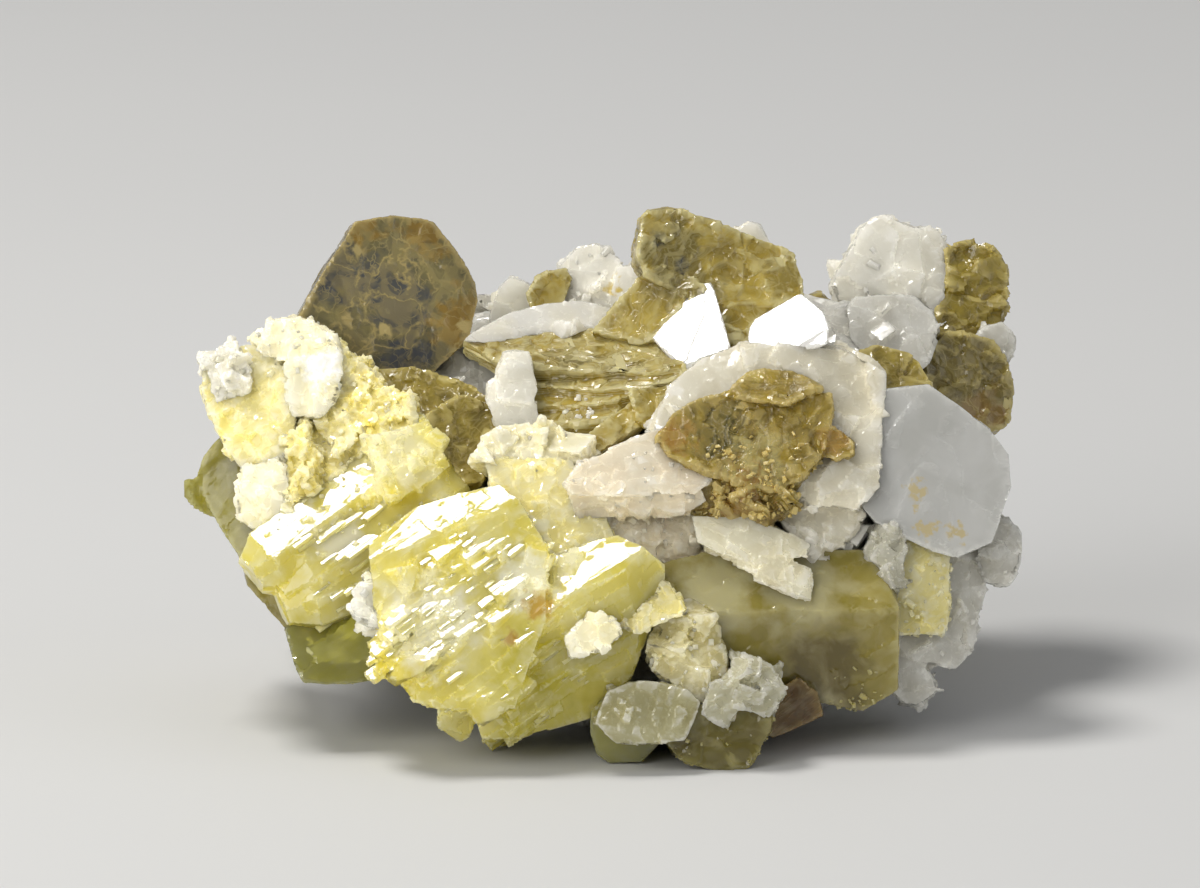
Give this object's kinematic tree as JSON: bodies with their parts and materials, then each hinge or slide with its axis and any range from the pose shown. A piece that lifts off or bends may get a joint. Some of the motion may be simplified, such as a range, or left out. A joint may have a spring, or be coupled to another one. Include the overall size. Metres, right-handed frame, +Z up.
{
  "type": "brazilianite crystal cluster",
  "caption": "Cluster of glassy yellow brazilianite crystals grown with white albite blades and brown muscovite books, resting on a flat broken face.",
  "frame": {"origin": "in the flat broken face that the cluster rests on, near its middle", "axes": "+Z up, +X to the right of the front view along the longest side, -Y towards the viewer"},
  "size_m": [0.0584, 0.0415, 0.0344],
  "materials": {
    "brazilianite": "glassy, pale yellow to greenish yellow, striated",
    "brazilianite_olive": "glassy, olive to brownish yellow",
    "albite": "milky white, partly see-through, pearly",
    "albite_grey": "greyish white, partly see-through, pearly",
    "muscovite": "olive brown leaves, pearly to glassy",
    "muscovite_rusty": "brown leaves stained with rust, rough"
  },
  "bodies": {
    "root": {"albite_back_blades": "albite_grey", "albite_back_cluster": "albite_grey", "albite_bottom_druse": "albite_grey", "albite_bottom_plate": "albite_grey", "albite_bright_block": "albite", "albite_bright_face": "albite", "albite_corner_druse": "albite", "albite_dull_block": "albite_grey", "albite_grey_block": "albite_grey", "albite_left_chip": "albite", "albite_left_face": "albite", "albite_left_side": "albite_grey", "albite_lilac_blade": "albite", "albite_low_blades": "albite", "albite_lower_right_plate": "albite_grey", "albite_matrix": "albite_grey", "albite_middle_chip": "albite", "albite_pale_cluster": "albite", "albite_pink_block": "albite", "albite_ridge": "albite", "albite_right_blade": "albite_grey", "albite_right_chip": "albite", "albite_right_druse": "albite_grey", "albite_right_side": "albite_grey", "albite_right_tip": "albite", "albite_rimmed_crystal": "albite", "albite_small_pair": "albite_grey", "albite_small_prism": "albite", "albite_top_tip": "albite", "albite_upper_left_block": "albite", "albite_upper_right": "albite", "albite_white_cap": "albite", "brazilianite_back": "brazilianite_olive", "brazilianite_bottom_brown": "brazilianite_olive", "brazilianite_bottom_olive": "brazilianite_olive", "brazilianite_far_left": "brazilianite_olive", "brazilianite_front": "brazilianite", "brazilianite_grainy_crust": "brazilianite", "brazilianite_left_prisms": "brazilianite", "brazilianite_left_side": "brazilianite_olive", "brazilianite_lower_left": "brazilianite_olive", "brazilianite_lower_yellow": "brazilianite", "brazilianite_middle": "brazilianite", "brazilianite_right": "brazilianite_olive", "brazilianite_right_square": "brazilianite", "brazilianite_upper_left": "brazilianite", "muscovite_arch": "muscovite", "muscovite_back_blade": "muscovite", "muscovite_back_book": "muscovite", "muscovite_diagonal_blade": "muscovite", "muscovite_fan": "muscovite", "muscovite_front_book": "muscovite_rusty", "muscovite_lower_book": "muscovite_rusty", "muscovite_right_lobe": "muscovite", "muscovite_right_wedge": "muscovite", "muscovite_upper_right_book": "muscovite", "muscovite_upright_book": "muscovite"}
  },
  "joints": []
}
